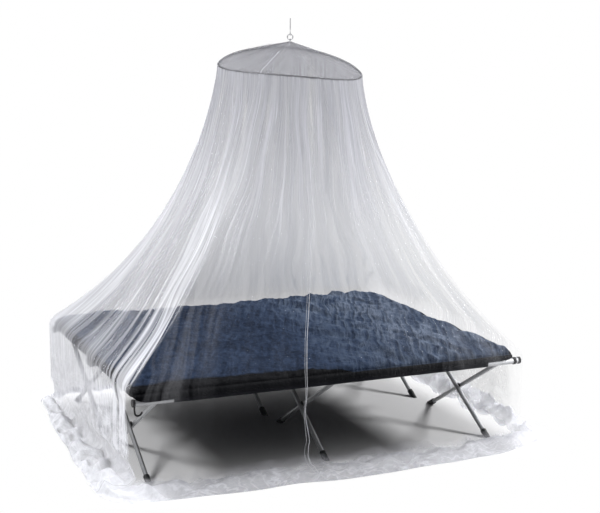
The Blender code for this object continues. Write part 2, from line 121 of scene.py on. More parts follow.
class Nodes:
    # Nodes under making. add() makes one, with its inputs by name, or by number as i0, i1 and so on.
    # feed() links a socket or sets it.
    def __init__(self, tree):
        self.tree = tree

    def add(self, kind, settings=None, **inputs):
        node = self.tree.nodes.new(kind)
        for word, value in (settings or {}).items():
            setattr(node, word, value)
        for word, value in inputs.items():
            numbered = word[0] == "i" and word[1:].isdigit()
            self.feed(node.inputs[int(word[1:]) if numbered else word.replace("_", " ")], value)
        return node

    def feed(self, socket, value):
        if isinstance(value, bpy.types.NodeSocket):
            self.tree.links.new(value, socket)
        else:
            socket.default_value = value

    def work(self, kind, first, second=0.0, third=0.0, clamp=False):
        node = self.add("ShaderNodeMath", {"operation": kind, "use_clamp": clamp},
                        i0=first, i1=second, i2=third)
        return node.outputs[0]

    def plus(self, first, second, clamp=False):
        return self.work("ADD", first, second, clamp=clamp)

    def minus(self, first, second):
        return self.work("SUBTRACT", first, second)

    def times(self, first, second, clamp=False):
        return self.work("MULTIPLY", first, second, clamp=clamp)

    def timesPlus(self, value, by, more, clamp=False):
        return self.work("MULTIPLY_ADD", value, by, more, clamp)

    def ramp(self, value, stops):
        node = self.add("ShaderNodeValToRGB", None, Fac=value)
        line = node.color_ramp
        while len(line.elements) < len(stops):
            line.elements.new(0.5)
        for element, (place, colour) in zip(line.elements, stops):
            element.position = place
            element.color = (*colour, 1.0)
        return node.outputs["Color"]

    def cells(self, vector, scale=1.0, detail=2.0, rough=0.5):
        node = self.add("ShaderNodeTexNoise", {"noise_dimensions": "3D"}, Vector=vector, Scale=scale,
                        Detail=detail, Roughness=rough)
        return node.outputs["Fac"]

    def stretched(self, vector, scale):
        node = self.add("ShaderNodeMapping", {"vector_type": "POINT"}, Vector=vector)
        node.inputs["Scale"].default_value = scale
        return node.outputs[0]

    def rotated(self, vector, angle):
        node = self.add("ShaderNodeMapping", {"vector_type": "POINT"}, Vector=vector)
        node.inputs["Rotation"].default_value = (0.0, 0.0, angle)
        return node.outputs[0]

    def warped(self, vector, scale, detail, reach):
        # The same place, pushed about by a soft noise.
        soft = self.add("ShaderNodeTexNoise", None, Vector=vector, Scale=scale, Detail=detail)
        return self.add("ShaderNodeVectorMath", {"operation": "MULTIPLY_ADD"},
                        i0=soft.outputs["Color"], i1=reach, i2=vector).outputs[0]

    def spread(self, value, low, high, first=0.0, last=1.0):
        return self.add("ShaderNodeMapRange", {"clamp": True}, Value=value, From_Min=low, From_Max=high,
                        To_Min=first, To_Max=last).outputs[0]

    def ridge(self, value, narrow):
        # 1 where value is in the middle, falling off to 0 on both sides of it.
        far = self.work("ABSOLUTE", self.minus(value, .5))
        return self.work("SUBTRACT", 1.0, self.times(far, narrow), clamp=True)

    def between(self, share, first, second):
        node = self.add("ShaderNodeMix", {"data_type": "FLOAT"}, i0=share, i2=first, i3=second)
        return node.outputs[0]

    def betweenColours(self, share, first, second):
        node = self.add("ShaderNodeMix", {"data_type": "RGBA"}, i0=share, i6=first, i7=second)
        return node.outputs[2]

    def bump(self, height, strength, distance, under=None):
        node = self.add("ShaderNodeBump", None, Height=height, Strength=strength, Distance=distance)
        if under is not None:
            self.feed(node.inputs["Normal"], under)
        return node.outputs[0]


class Finish(Nodes):
    # A material. spot() is a place on the piece and cloth() one on the flat cloth, in metres.
    # mark() is one of the cloth's named numbers.
    def __init__(self, name):
        self.material = bpy.data.materials.new(name)
        self.material.use_nodes = True
        super().__init__(self.material.node_tree)
        self.shader = self.tree.nodes["Principled BSDF"]

    def spot(self):
        return self.add("ShaderNodeTexCoord").outputs["Object"]

    def cloth(self):
        return self.add("ShaderNodeUVMap", {"uv_map": "cloth"}).outputs[0]

    def mark(self, word):
        return self.add("ShaderNodeAttribute", {"attribute_name": word}).outputs["Fac"]

    def dress(self, **inputs):
        for word, value in inputs.items():
            self.feed(self.shader.inputs[word.replace("_", " ")], value)
        return self.material


# How the net hangs all round the bed, from the middle of the front through the right.
# clear: how far outside the cots. bend: the height at which it turns down. flare: how straight it
# comes down to there. slack: depth of its big folds. spread: its reach over the floor. full: depth
# of its small folds. heap: how high it crumples on the floor. thick: how dense it looks low down,
# drop: beside the cots, laid: on the floor. paleAndLit: how light its threads look, partly as where
# they lie doubled and partly painted light and shade, lighter at the sides and rear, darker at the
# front. bunch: how far it parts into streaks and clear gaps.
netRound = {
    "at": (.0, .100, .142, .185, .250, .358, .500, .642, .750, .850, .858, .885, .915, 1.0),
    "clear": (.026, .026, .012, .020, .026, .014, .026, .014, .022, .014, .014, .017, .020, .026),
    "bend": (.475, .470, .440, .465, .475, .455, .475, .455, .465, .452, .452, .458, .464, .475),
    "flare": (.80, .80, .84, .84, .84, .84, .78, .74, .74, .76, .76, .77, .78, .80),
    "slack": (.016, .014, .005, .010, .016, .007, .016, .006, .012, .007, .007, .009, .011, .016),
    "spread": (.190, .170, .105, .150, .215, .170, .180, .060, .110, .148, .150, .158, .168, .190),
    "full": (.30, .50, .60, .60, .60, .60, .25, .60, 1.1, 1.3, 1.3, .80, .40, .30),
    "heap": (1.0, 1.2, 1.7, 1.9, 1.8, 1.4, 1.0, 1.2, 1.5, 1.6, 1.5, 1.3, 1.1, 1.0),
    "thick": (.006, .045, .060, .260, .300, .540, .700, .540, .330, .390, .030, .034, .008, .006),
    "drop": (.006, .016, .020, .330, .380, .540, .700, .560, .560, .740, .008, .020, .008, .006),
    "laid": (.84, .82, .76, .76, .78, .74, .72, .84, .88, .88, .88, .84, .84, .84),
    "paleAndLit": (.22, .50, .85, .95, .95, .90, .80, .85, .85, .95, .90, .40, .22, .22),
    "bunch": (.40, .80, .90, .60, .50, .25, .10, .30, .60, 1.0, 1.0, 1.0, .70, .40),
}
netPool = [  # out: share of the spread, rise: height, ruffle: height of the puckers
    {"out": -.10, "rise": .105, "ruffle": .000},
    {"out": -.24, "rise": .062, "ruffle": .004},
    {"out": -.27, "rise": .030, "ruffle": .006},
    {"out": -.08, "rise": .008, "ruffle": .000},
    {"out": 0.20, "rise": .006, "ruffle": .020},
    {"out": 0.48, "rise": .006, "ruffle": .028},
    {"out": 0.76, "rise": .004, "ruffle": .016},
    {"out": 0.93, "rise": .003, "ruffle": .000},
    {"out": 1.00, "rise": .003, "ruffle": .000},
]
netShape = {
    "columns": 720, "fallRows": 62, "dropRows": 12, "poolRows": 5,
    "smallFold": .0085, "sway": .055, "crumple": .022, "flatRound": 8.6,
    "overHoop": .0012, "thickTop": .66, "hemExtra": .12, "lowest": .0022,
    "folds": ((9, .40, .4), (14, .35, 1.9), (21, .25, 4.1)),  # how many go round, share, turn
    "ruffles": ((13, .45, .9), (19, .35, 3.2), (27, .20, 5.0)),
    "small": ((34, .45, 1.1), (47, .35, 2.7), (71, .20, 0.3)),
}
bed = {"middle": Vector((-.0413, .0044, 0.0)), "halfX": .987, "halfY": .7605, "corner": .018,
       "railHeight": .393}
hoop = {"middle": Vector((.0247, .0044, 1.813)), "radius": .355, "tube": .005, "riseRear": .180,
        "warp": .020, "turn": math.radians(-24), "peak": 1.9313}


def netValue(word, share):
    spots, values = netRound["at"], netRound[word]
    k = max(1, next(n for n, spot in enumerate(spots) if share <= spot))
    return mix(values[k - 1], values[k], blend(spots[k - 1], spots[k], share))


def waves(table, share):
    total = sum(row[1] for row in table)
    return 0.5 + 0.5 * sum(row[1] * math.sin(math.tau * row[0] * share + row[2]) for row in table) / total


def onCircle(share):
    return Vector((math.cos(math.tau * share), math.sin(math.tau * share), 0.0))


def hoopPoint(share, radius, above=0.0):
    angle = math.tau * share - math.pi / 2
    x, y = radius * math.cos(angle), radius * math.sin(angle)
    z = hoop["riseRear"] * y - hoop["warp"] * math.cos(2 * (angle - hoop["turn"]))
    return hoop["middle"] + Vector((x, y, z + above))


def bedOutline(share):
    quarter = int(share * 4) % 4
    first, second = (bed["halfX"], bed["halfY"]) if quarter % 2 == 0 else (bed["halfY"], bed["halfX"])
    corner = bed["corner"]
    arc = corner * math.pi / 2
    along = (share * 4 - int(share * 4)) * (first + second - 2 * corner + arc)
    if along < first - corner:
        point, out = Vector((along, -second)), Vector((0.0, -1.0))
    elif along < first - corner + arc:
        angle = (along - first + corner) / corner
        out = Vector((math.sin(angle), -math.cos(angle)))
        point = Vector((first - corner, corner - second)) + out * corner
    else:
        point, out = Vector((first, along - first - arc + 2 * corner - second)), Vector((1.0, 0.0))
    turned = Matrix.Rotation(quarter * math.pi / 2, 2)
    out = turned @ out
    return turned @ point + out * netValue("clear", share) + bed["middle"].xy, out


def smallFold(share, down, full):
    # Fine folds that wander as they come down, gathered tight at the hoop.
    around = onCircle(share)
    drift = .012 * noise.noise(around * 2.2 + Vector((0, 0, down * 2.6)))
    lively = .45 + .9 * abs(noise.noise(around * 5.0 + Vector((7.1, 0, down * 1.3))))
    wave = waves(netShape["small"], share + drift) - .5
    return 2 * wave * netShape["smallFold"] * full * lively * blend(0, .10, down)


def netFall(share, hang, foot, out, fold):
    # From the hoop out to the cots' edge, straight at first and then flaring.
    top = hoopPoint(share, hoop["radius"] + hoop["tube"] + netShape["overHoop"])
    radial = (top.xy - hoop["middle"].xy).normalized()
    points, marks = [], []
    for r in range(netShape["fallRows"]):
        fall = r / (netShape["fallRows"] - 1)
        flat = top.xy.lerp(foot, hang["flare"] * fall ** 1.5 + (1 - hang["flare"]) * fall ** 5)
        away = radial.lerp(out, fall).normalized()
        flat = (flat + out * hang["slack"] * fold * min(1.0, fall / .35)
                + away * smallFold(share, fall, hang["full"]) * (1 - .35 * fall))
        points.append(Vector((flat.x, flat.y, mix(top.z, hang["bend"], fall))))
        parted = mix(.25 + .40 * blend(.01, .14, fall), hang["bunch"], blend(.2, .7, fall))
        marks.append((mix(netShape["thickTop"], hang["thick"], blend(.12, .80, fall)), 0.0,
                      hang["paleAndLit"] * blend(.0, .65, fall), parted))
    return points, marks


def netDrop(share, hang, foot, out, fold):
    # Down beside the cots, swaying a little from side to side.
    points, marks = [], []
    for r in range(1, netShape["dropRows"] + 1):
        part = r / (netShape["dropRows"] + 1)
        small = smallFold(share, 1.0 + part * .3, hang["full"]) * .65
        flat = foot + out * (hang["slack"] * fold * (1 + .6 * part) + small)
        sway = noise.noise(onCircle(share) * 11 + Vector((3.3, 0, part * 1.7)))
        sway *= math.sin(math.pi * part)
        flat = flat + Vector((-out.y, out.x)) * sway * hang["bunch"] * netShape["sway"]
        points.append(Vector((flat.x, flat.y, mix(hang["bend"], netPool[0]["rise"], part))))
        marks.append((mix(hang["thick"], hang["drop"], blend(.08, .34, part)),
                      .80 * blend(.05, .80, part), hang["paleAndLit"], hang["bunch"]))
    return points, marks


def netOnFloor(share, hang, foot, out, fold, above):
    # A smooth line through the pool's points, then its crumples. above: the last two points.
    ways = []
    for depth, row in enumerate(netPool):
        ruffle = waves(netShape["ruffles"], (share + .013 * depth) % 1.0)
        reach = row["out"] * hang["spread"] * (.94 + .12 * fold * max(0.0, row["out"]))
        flat = foot + out * (reach + hang["slack"] * fold * (1 - .7 * depth / len(netPool)))
        ways.append(Vector((flat.x, flat.y, row["rise"] + row["ruffle"] * ruffle * hang["heap"])))
    ends = [*above, *ways, ways[-1] * 2 - ways[-2]]
    points, marks = [], []
    for k in range(len(ways)):
        a, b, c, d = ends[k:k + 4]
        for step in range(1, netShape["poolRows"] + 1):
            part = step / netShape["poolRows"]
            spot = .5 * ((2 * b) + (c - a) * part + (2 * a - 5 * b + 4 * c - d) * part ** 2
                         + (3 * b - a - 3 * c + d) * part ** 3)
            deep = (k + part) / len(ways)
            rough = blend(0, .25, deep) * (1 - blend(.86, .99, deep))
            spot = spot + crumple(spot) * rough * hang["heap"]
            spot.z = max(netShape["lowest"], spot.z)
            points.append(spot)
            dense = mix(hang["drop"], hang["laid"], blend(.24, .58, deep))
            marks.append((dense + netShape["hemExtra"] * blend(.945, .97, deep),
                          mix(.80, 1.0, blend(.0, .35, deep)), hang["paleAndLit"],
                          hang["bunch"] * (1 - blend(.0, .3, deep))))
    return points, marks


def netColumn(share):
    # The points of one column, hoop to hem, and at each how dense the net looks, how far it lies on
    # the floor, how pale it is painted, with painted light and shade, and how bunched it is.
    hang = {word: netValue(word, share) for word in netRound if word != "at"}
    foot, out = bedOutline(share)
    fold = waves(netShape["folds"], share)
    points, marks = netFall(share, hang, foot, out, fold)
    dropPoints, dropMarks = netDrop(share, hang, foot, out, fold)
    points += dropPoints
    turn = netShape["fallRows"] - 1  # its turn over the cots' edge is softened
    points[turn - 2:turn + 3] = [(points[k - 1] + points[k] * 2 + points[k + 1]) / 4
                                 for k in range(turn - 2, turn + 3)]
    poolPoints, poolMarks = netOnFloor(share, hang, foot, out, fold, points[-2:])
    return points + poolPoints, marks + dropMarks + poolMarks


def crumple(spot):
    # Soft ridges and hollows where the net lies on the floor, with finer ones on them.
    flat = spot + noise.noise_vector(spot * 3.5) * .07
    wide = 1 - min(1.0, abs(noise.noise(flat * 7)) * 2.2)
    fine = noise.noise(flat * 17 + Vector((5, 2, 0)))
    lift = (wide * .95 + fine * .55 - .30) * netShape["crumple"]
    side = noise.noise_vector(flat * 6) * netShape["crumple"] * .6
    return Vector((side.x, side.y, lift))


def makeNetWall():
    count = netShape["columns"]
    shares = [c / count for c in range(count)]
    columns, marks = zip(*[netColumn(share) for share in shares])
    rows = [list(row) for row in zip(*columns)]
    alongs = [0.0]
    for upper, lower in zip(rows, rows[1:]):
        alongs.append(alongs[-1] + sum((a - b).length for a, b in zip(upper, lower)) / count)
    around = [share * netShape["flatRound"] for share in shares]
    marks = [mark for row in zip(*marks) for mark in row]
    marks = dict(zip(("threads", "laid", "paleAndLit", "bunch"), zip(*marks)))
    mesh = clothMesh("netWall", rows, around, alongs, marks, closed=True)
    piece = newPiece("netWall", mesh, netFinish("netCloth"))
    piece.visible_shadow = piece.visible_diffuse = piece.visible_glossy = False
    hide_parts("net_body")
    return piece, alongs[-1]


# Tapes sewn along the net. way: share round the net at each share of the way from hoop to hem.
netTapes = [
    {"name": "frontEdge", "width": .0034, "lift": .0016, "way": (
        (.00, .996), (.06, .990), (.12, .984), (.20, .980), (.30, .978), (.40, .976), (.47, .974),
        (.55, .974), (.62, .976), (.70, .977), (.82, .978), (.90, .977), (1.0, .966))},
    {"name": "frontFlap", "width": .0018, "lift": .0012, "way": (
        (.00, .992), (.06, .985), (.12, .981), (.20, .978), (.30, .9755), (.40, .974), (.47, .9725),
        (.55, .9728), (.62, .974), (.70, .9745), (.82, .976), (.90, .975), (1.0, .965))},
    {"name": "leftSeam", "width": .0040, "lift": .0012, "way": (
        (.00, .873), (.05, .862), (.10, .856), (.30, .854), (.60, .853), (1.0, .853))},
]
stripSides = (-.5, -.17, .17, .5)  # the points across a tape, in widths from its middle
stripLowest = .004  # no tape comes nearer to the floor


def wayValue(way, down):
    for here, after in zip(way, way[1:]):
        if down <= after[0]:
            return mix(here[1], after[1], (down - here[0]) / (after[0] - here[0]))
    return way[-1][1]


def makeStrip(name, rows, width):
    alongs = [0.0]
    for before, after in zip(rows, rows[1:]):
        alongs.append(alongs[-1] + (after[1] - before[1]).length)
    around = [width * k / 3 for k in range(4)]
    piece = newPiece(name, clothMesh(name, rows, around, alongs), tapeFinish())
    return piece


def makeTape(tape):
    # A narrow tape that lies just outside the net and follows its folds.
    rows = []
    last = netShape["fallRows"] + netShape["dropRows"] + len(netPool) * netShape["poolRows"] - 1
    for r in range(last + 1):
        share = wayValue(tape["way"], r / last)
        here = netColumn(share % 1.0)[0]
        beside = netColumn((share + .0008) % 1.0)[0]
        across = (beside[r] - here[r]).normalized()
        down = (here[min(r + 1, last)] - here[max(r - 1, 0)]).normalized()
        middle = here[r] + down.cross(across).normalized() * tape["lift"]
        middle.z = max(stripLowest, middle.z)
        rows.append([middle + across * tape["width"] * side for side in stripSides])
    piece = makeStrip(tape["name"], rows, tape["width"])
    piece.visible_shadow = False
    return piece


def tapeFinish():
    f = Finish("tapeCloth")
    ribs = f.cells(f.stretched(f.spot(), (900, 900, 300)), 1.0, 1.0)
    baseColour = f.ramp(ribs, ((.3, (.46, .47, .51)), (.7, (.66, .67, .71))))
    return f.dress(Base_Color=baseColour, Roughness=.8, Alpha=f.plus(.50, f.times(ribs, .30)),
                   Normal=f.bump(ribs, .3, .0005))


# single, double: its tones in one layer and in a doubled one, from the gaps to the streaks.
# The rest are how closely each pattern comes across and down the cloth.
netLook = {
    "single": ((0.0, (.19, .193, .220)), (1.0, (.62, .625, .685))),
    "double": ((0.0, (.70, .710, .785)), (1.0, (.93, .940, .985))),
    "wander": (1.4, 1.5, 1.0), "wide": (3.2, .45, 1.0), "fine": (12.0, .80, 1.0),
    "slant": (10.0, 1.5, 1.0), "hair": (34.0, 1.1, 1.0), "edge": (12.0, .70, 3.0),
    "ridge": (8, 20, 1), "band": (24, 48, 1), "holes": 520.0,
}


def netStreaks(f, cloth, bunch):
    # Bunched streaks that run down from the hoop and wander, and the thin edges of folds.
    wander = f.times(f.minus(f.cells(f.stretched(cloth, netLook["wander"]), 1.0, 1.0), .5), .40)
    aside = f.add("ShaderNodeCombineXYZ", None, X=wander).outputs[0]
    moved = f.add("ShaderNodeVectorMath", {"operation": "ADD"}, i0=cloth, i1=aside).outputs[0]
    wide = f.cells(f.stretched(moved, netLook["wide"]))
    fine = f.cells(f.stretched(moved, netLook["fine"]))
    slant = f.cells(f.stretched(f.rotated(moved, .20), netLook["slant"]), 1.0, 1.0)
    streak = f.timesPlus(slant, .22, f.plus(f.times(wide, .40), f.times(fine, .38)))
    # Finer ones where the net is drawn tight over the bed's corners.
    hair = f.cells(f.stretched(moved, netLook["hair"]), 1.0, 1.0)
    hair = f.times(f.minus(hair, .5), f.spread(bunch, .65, 1.0, .0, .55))
    streak = f.spread(f.plus(streak, hair), .38, .62)
    edge = f.ridge(f.cells(f.stretched(moved, netLook["edge"]), 1.0, 0.0), 36.0)
    return streak, edge


def netCrumples(f, spot, cloth):
    # Soft patches with a few thin ridges, where the net lies on the floor.
    patch = f.spread(f.cells(f.warped(spot, 7.0, 1.0, (.10, .10, .05)), 14.0, 4.0, .58), .30, .70)
    swirl = f.warped(cloth, 5.0, 1.0, (.16, .16, .0))
    ridge = f.ridge(f.cells(f.stretched(swirl, netLook["ridge"]), 1.0, 3.0, .6), 21.0)
    band = f.spread(f.cells(f.stretched(swirl, netLook["band"]), 1.0, 4.0, .66), .32, .68)
    rumpled = f.plus(f.times(patch, .62), f.times(band, .18))
    return f.plus(rumpled, f.timesPlus(ridge, .18, .10), clamp=True), ridge


# The last argument darkens its colours, a painted shade used for the crown.
def netFinish(name, shadeTone=1.0):
    f = Finish(name)
    cloth = f.cloth()
    threads, laid, paleAndLit, bunch = [f.mark(word) for word in ("threads", "laid", "paleAndLit", "bunch")]
    streak, edge = netStreaks(f, cloth, bunch)
    rumpled, ridge = netCrumples(f, f.spot(), cloth)
    edge = f.times(edge, f.minus(f.spread(bunch, .0, .6), laid), clamp=True)
    calm = f.timesPlus(f.minus(streak, .5), f.plus(.20, bunch), .5)
    look = f.between(laid, calm, rumpled)
    # How much of the view each place stops, more in streaks where the net is bunched.
    parted = f.timesPlus(look, f.between(bunch, .46, 1.85), f.between(bunch, .75, .06))
    shut = f.plus(f.times(threads, parted), f.times(f.times(edge, threads), .55))
    weave = f.add("ShaderNodeTexVoronoi", {"feature": "DISTANCE_TO_EDGE"}, Vector=cloth,
                  Scale=netLook["holes"])
    weave = f.spread(weave.outputs["Distance"], .0, .3, 1.06, .94)
    stops = f.work("MINIMUM", f.times(shut, weave), .97, clamp=True)
    bright = f.plus(look, f.times(edge, .5), clamp=True)
    # The two tones are mixed by how pale each place is marked, partly doubled layers and partly painted
    # light and shade.
    single, double = [f.ramp(bright, [(place, [part * shadeTone for part in colour])
                                      for place, colour in netLook[word]])
                      for word in ("single", "double")]
    # Painted shade: a single layer lying flat is darkened, most at the front where it is marked least
    # pale, and less on its ridges.
    paintedFlatShade = f.times(f.times(laid, f.minus(1.0, paleAndLit)), f.timesPlus(ridge, -.30, 1.0))
    baseColour = f.add("ShaderNodeVectorMath", {"operation": "SCALE"},
                i0=f.betweenColours(paleAndLit, single, double), i3=f.timesPlus(paintedFlatShade, -.60, 1.0))
    return f.dress(Base_Color=baseColour.outputs[0], Roughness=.85, Specular_IOR_Level=.12, Alpha=stops,
                   Normal=f.bump(look, .40, .006))


netWall, netLength = makeNetWall()
tapes = [makeTape(tape) for tape in netTapes]
print("net wall hung, %.2f m from hoop to hem" % netLength)

# The net over the hoop. start: outside the middle of its tube, perch: above it, in tubes.
# Its colours are darkened by the tone at the end, a painted shade on the crown under the top light.
crownShape = {"columns": 288, "rows": 26, "start": .0055, "perch": .4, "reach": .985, "sag": .006,
              "panels": 6, "wrinkle": .0055, "rise": .0055, "edge": .035, "flatRound": 3.4,
              "flatIn": .36, "threads": (.60, .80), "shadeTone": .50}
seamShape = {"at": (.873, .206, .540), "rows": 25, "width": .0036, "start": .0060, "top": .62,
             "rise": .0100, "sag": .3}
peak = Vector((hoop["middle"].x, hoop["middle"].y, hoop["peak"]))


def crownPoint(share, inward, start):
    rim = hoopPoint(share, hoop["radius"] + start, hoop["tube"] * crownShape["perch"])
    return rim.lerp(peak, inward)


def makeNetTop():
    count, last = crownShape["columns"], crownShape["rows"] - 1
    rows, threads = [], []
    for r in range(last + 1):
        inward = (r / last) ** 1.1 * crownShape["reach"]
        bow, high = math.sin(math.pi * inward), blend(.5, 1, inward)
        rise = crownShape["rise"] * blend(0, crownShape["edge"], inward) * (1 - high)
        row = []
        for c in range(count):
            share = c / count
            point = crownPoint(share, inward, crownShape["start"])
            panel = math.cos(math.tau * crownShape["panels"] * share)
            sag = bow * crownShape["sag"] * (1 + .8 * panel)
            pull = noise.noise(onCircle(share) * 9 + Vector((0, 0, inward * 1.2)))
            point.z = min(hoop["peak"], point.z - sag + rise + pull * crownShape["wrinkle"] * bow)
            row.append(point)
            threads.append(mix(*crownShape["threads"], high))
        rows.append(row)
    around = [c / count * crownShape["flatRound"] for c in range(count)]
    alongs = [r / last * crownShape["flatIn"] for r in range(last + 1)]
    mesh = clothMesh("netTop", rows, around, alongs, {"threads": threads}, closed=True)
    piece = newPiece("netTop", mesh, netFinish("netTopCloth", crownShape["shadeTone"]))
    piece.visible_shadow = piece.visible_diffuse = piece.visible_glossy = False
    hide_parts("net_crown")
    return piece


def makeCrownSeam(number, share):
    # A narrow felled seam, the lower part of its way from the peak down to the hoop.
    angle = math.tau * share - math.pi / 2
    aside = Vector((-math.sin(angle), math.cos(angle), 0))
    last = seamShape["rows"] - 1
    rows = []
    for r in range(last + 1):
        inward = seamShape["top"] - seamShape["top"] * r / last
        middle = crownPoint(share, inward, seamShape["start"])
        sag = math.sin(math.pi * inward) * crownShape["sag"] * seamShape["sag"]
        middle.z += (seamShape["rise"] * blend(0, crownShape["edge"], inward)
                     - sag * (1 - blend(.5, 1, inward)))
        rows.append([middle + aside * side * seamShape["width"] for side in stripSides])
    piece = makeStrip("crownSeam%d" % number, rows, seamShape["width"])
    piece.visible_shadow = piece.visible_diffuse = piece.visible_glossy = False
    return piece


netTop = makeNetTop()
crownSeams = [makeCrownSeam(n + 1, share) for n, share in enumerate(seamShape["at"])]
print("net top stretched")

# The cover, a thin quilt. fullIn: how far in from its ends and sides it is full.
# The last two widths in it are how broad its painted shade is at the left and at the right.
coverShape = {"left": -.982, "right": .950, "halfWidth": .745, "edge": .045, "crown": .020,
              "fullIn": (.30, .26), "ripple": .0035, "rim": .030, "endRound": .07, "endDraw": .020,
              "base": .4111, "least": .006, "along": 300, "across": 200, "under": 5,
              "flatRound": 1.9, "flatAlong": 1.95, "shadeLeft": .100, "shadeRight": .004}
# Where its filling heaps up: x, y, size, rise.
coverSwells = ((.33, .50, .24, .018), (.06, .56, .16, .012), (.66, .40, .14, -.008),
               (-.38, .40, .30, .008), (-.20, -.30, .26, .008), (.48, -.28, .22, .007),
               (.14, .02, .12, -.009), (-.74, .62, .20, .026), (-.28, .66, .22, .018),
               (.68, .66, .12, .018), (-.75, -.45, .22, .010))
# Where its front edge hangs over the rail: the outline of that edge, from above to below and back.
coverLip = ((-.7560, .016), (-.7635, .008), (-.7668, -.004), (-.7668, -.016), (-.7642, -.021),
            (-.7614, -.016), (-.7612, -.003), (-.7590, .0025))


def coverHeight(x, y):
    fullX, fullY = coverShape["fullIn"]
    reachX = min(x - coverShape["left"], coverShape["right"] - x) / fullX
    reachY = (coverShape["halfWidth"] - abs(y)) / fullY
    inside = blend(0, 1, min(1.0, max(0.0, reachX)) * min(1.0, max(0.0, reachY)))
    height = coverShape["edge"] + coverShape["crown"] * inside
    for sx, sy, size, rise in coverSwells:
        height += rise * math.exp(-((x - sx) ** 2 + (y - sy) ** 2) / size ** 2)
    return height + coverShape["ripple"] * math.sin(9 * x + 5 * y) * inside


def coverFold(x, y):
    # Long creases that run from the rear to the front right, with soft puffs and crinkles.
    along, across = x * .375 - y * .927, x * .927 + y * .375
    bend = noise.noise(Vector((along * 2.6, across * 2.2, 3.3))) * .06
    ways = noise.noise(Vector((along * 1.2, (across + bend) * 10, 1.7)))
    minor = noise.noise(Vector((along * 2.6, (across + bend * .6) * 25, 6.1)))
    toRight = .25 + .75 * blend(-.10, .40, x)
    puff = noise.noise(Vector((x * 5.0, y * 7.5, 4.2)))
    crease = 1 - min(1.0, abs(noise.noise(Vector((x * 8 + puff * .6, y * 10, 8.8)))) * 4.0)
    fine = abs(noise.noise(Vector((x * 19 + puff, y * 25, 9.1))))
    creases = ((.5 - abs(ways) * 1.6) * .028 + minor * .007) * toRight
    return creases + puff * .010 - crease * .006 - fine * .008


def coverPaintedShade(x, fromEdge, high):
    # Painted shade: black over its front side and lip that lie in shade, broad at the front left, low on
    # the side at the right.
    wide = mix(coverShape["shadeLeft"], coverShape["shadeRight"], blend(-.40, .20, x))
    along = fromEdge + .8 * high + .008 * noise.noise(Vector((x * 9, 4.4, 0)))
    return 1 - blend(wide * .85, wide * 1.15, along)


def coverRing(x):
    # The cover's outline at one place along it, and at each point how far it is painted black as shade.
    toEnd = min(x - coverShape["left"], coverShape["right"] - x)
    drawn = min(1.0, max(0.0, toEnd / coverShape["endRound"]))
    rounded = math.sqrt(1 - (1 - drawn) ** 2)
    half = coverShape["halfWidth"] - coverShape["endDraw"] * (1 - rounded)
    squash = .45 + .55 * rounded
    base, across, under = coverShape["base"], coverShape["across"], coverShape["under"]
    ring = [Vector((x, -half * .97 + 1.94 * half * k / under, base + .0005)) for k in range(under + 1)]
    # Painted shade: the underside is black all through.
    paintedShade = [1.0] * (under + 1)
    for k in range(across + 1):
        turn = math.cos(math.pi * k / across)
        y = half * math.copysign(abs(turn) ** .85, turn)
        edge = min(1.0, (half - abs(y)) / coverShape["rim"])
        bulge = math.sqrt(max(0.0, 1 - (1 - edge) ** 2))
        high = coverHeight(x, y) * squash * (.42 + .58 * bulge)
        high += coverFold(x, y) * bulge * rounded
        ring.append(Vector((x, y, base + max(coverShape["least"], high))))
        # Painted shade: a thin dark line round its ends and rear edge.
        edgeShade = 1 - blend(.006, .010, min(toEnd * .35, (half - y) * .50))
        paintedShade.append(max(coverPaintedShade(x, half + y, high), edgeShade))
    low = mix(.65 + .5 * noise.noise(Vector((x * 5, 2.0, 0))), .30, blend(.50, .72, x))
    rim = ring[-1]
    # Painted shade: the lip over the rail is black all through.
    for y, down in coverLip:
        spot = Vector((x, y, base + (down * low if down < 0 else down)))
        ring.append(rim.lerp(spot, rounded) - Vector((0, .0001 * (1 - rounded), 0)))
        paintedShade.append(1.0)
    return ring, paintedShade


def makeCover():
    rows, paintedShade = [], []
    last = coverShape["along"]
    for i in range(last + 1):
        part = i / last
        part = .45 * (.5 - .5 * math.cos(math.pi * part)) + .55 * part  # closer rows near the ends
        ring, ringShade = coverRing(mix(coverShape["left"], coverShape["right"], part))
        rows.append([point + bed["middle"] for point in ring])
        paintedShade += ringShade
    count = len(rows[0])
    around = [k / count * coverShape["flatRound"] for k in range(count)]
    alongs = [i / last * coverShape["flatAlong"] for i in range(last + 1)]
    mesh = clothMesh("quilt", rows, around, alongs, {"paintedShade": paintedShade}, closed=True)
    bm = bmesh.new()
    bm.from_mesh(mesh)
    bm.verts.ensure_lookup_table()
    bm.faces.new(bm.verts[:count])
    bm.faces.new(list(reversed(bm.verts[-count:])))
    bmesh.ops.recalc_face_normals(bm, faces=bm.faces)
    bm.to_mesh(mesh)
    bm.free()
    piece = newPiece("quilt", mesh, coverFinish())
    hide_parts("cover")
    return piece


# How closely each pattern of the cover comes, and its colours from hollows to crests, painted shade
# to painted highlight. right: where it is painted lighter towards the right end.
coverLook = {
    "patch": (3.0, 4.0, 3.0), "crease": (24, 1.8, 8), "crinkle": (42, 11, 36), "weave": 900.0,
    "turn": math.radians(22), "right": (-.15, .45), "shadeColour": (.0015, .0018, .0032, 1.0),
    "baseColour": ((.34, (.0080, .0160, .037)), (.48, (.026, .043, .085)),
            (.64, (.060, .085, .138)), (.86, (.165, .203, .280))),
}


